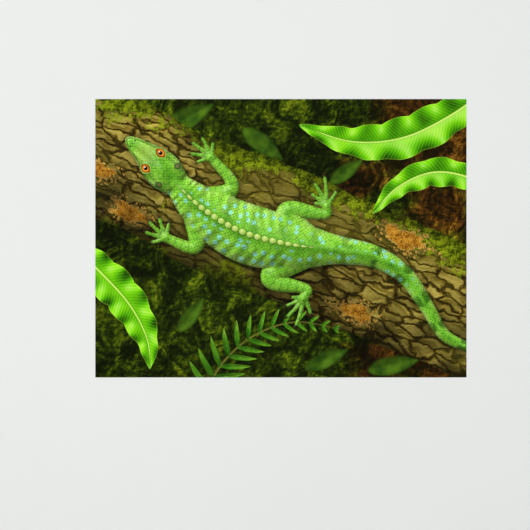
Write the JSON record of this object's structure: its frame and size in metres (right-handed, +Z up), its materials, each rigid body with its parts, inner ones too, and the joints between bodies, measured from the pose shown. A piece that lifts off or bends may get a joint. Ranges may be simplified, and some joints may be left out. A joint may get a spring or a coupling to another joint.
{
  "type": "printed wall mural sheet",
  "caption": "Thin rectangular vinyl wall mural that lies flat on a wall, printed edge to edge with a jungle picture of a green lizard on a slanting tree trunk among leaves and a fern.",
  "frame": {"origin": "centre of the sheet's back face, where it lies on the wall", "axes": "+X to the viewer's right along the long side, +Z up, +Y into the wall; the printed face looks along -Y"},
  "size_m": [1.2192, 0.0009, 0.9144],
  "materials": {
    "film": "matt white vinyl film",
    "print_backdrop": "matt print, dark mossy green",
    "print_far_leaf": "matt print, dull leaf green",
    "print_trunk": "matt print, olive brown bark",
    "print_lichen": "matt print, ochre lichen",
    "print_fern": "matt print, fern green",
    "print_blade": "matt print, bright lime leaf",
    "print_midrib": "matt print, pale leaf rib",
    "print_lizard": "matt print, scaly light green with turquoise spots",
    "print_crest": "matt print, yellow green",
    "print_iris": "matt print, orange iris",
    "print_pupil": "matt print, black"
  },
  "bodies": {
    "root": {"film": "film", "print_backdrop_part_1": "print_backdrop", "print_backdrop_part_2": "print_backdrop", "print_backdrop_part_3": "print_backdrop", "print_backdrop_part_4": "print_backdrop", "print_backdrop_part_5": "print_backdrop", "print_backdrop_part_6": "print_backdrop", "print_backdrop_part_7": "print_backdrop", "print_backdrop_part_8": "print_backdrop", "print_backdrop_part_9": "print_backdrop", "print_far_leaf_1": "print_far_leaf", "print_far_leaf_2": "print_far_leaf", "print_far_leaf_3": "print_far_leaf", "print_far_leaf_4": "print_far_leaf", "print_far_leaf_5": "print_far_leaf", "print_far_leaf_6": "print_far_leaf", "print_trunk_part_1": "print_trunk", "print_trunk_part_2": "print_trunk", "print_trunk_part_3": "print_trunk", "print_trunk_part_4": "print_trunk", "print_lichen_1": "print_lichen", "print_lichen_2": "print_lichen", "print_lichen_3": "print_lichen", "print_lichen_4": "print_lichen", "print_fern_part_1": "print_fern", "print_fern_part_2": "print_fern", "print_fern_part_3": "print_fern", "print_fern_part_4": "print_fern", "print_blade_1": "print_blade", "print_blade_2": "print_blade", "print_blade_3": "print_blade", "print_midrib_1": "print_midrib", "print_midrib_2": "print_midrib", "print_midrib_3": "print_midrib", "print_lizard_body": "print_lizard", "print_lizard_head": "print_lizard", "print_lizard_leg_front_left": "print_lizard", "print_lizard_leg_front_right": "print_lizard", "print_lizard_leg_hind_left": "print_lizard", "print_lizard_leg_hind_right": "print_lizard", "print_lizard_tail": "print_lizard", "print_lizard_crest": "print_crest", "print_lizard_eye_1": "print_iris", "print_lizard_eye_2": "print_iris", "print_lizard_pupil_1": "print_pupil", "print_lizard_pupil_2": "print_pupil"}
  },
  "joints": []
}
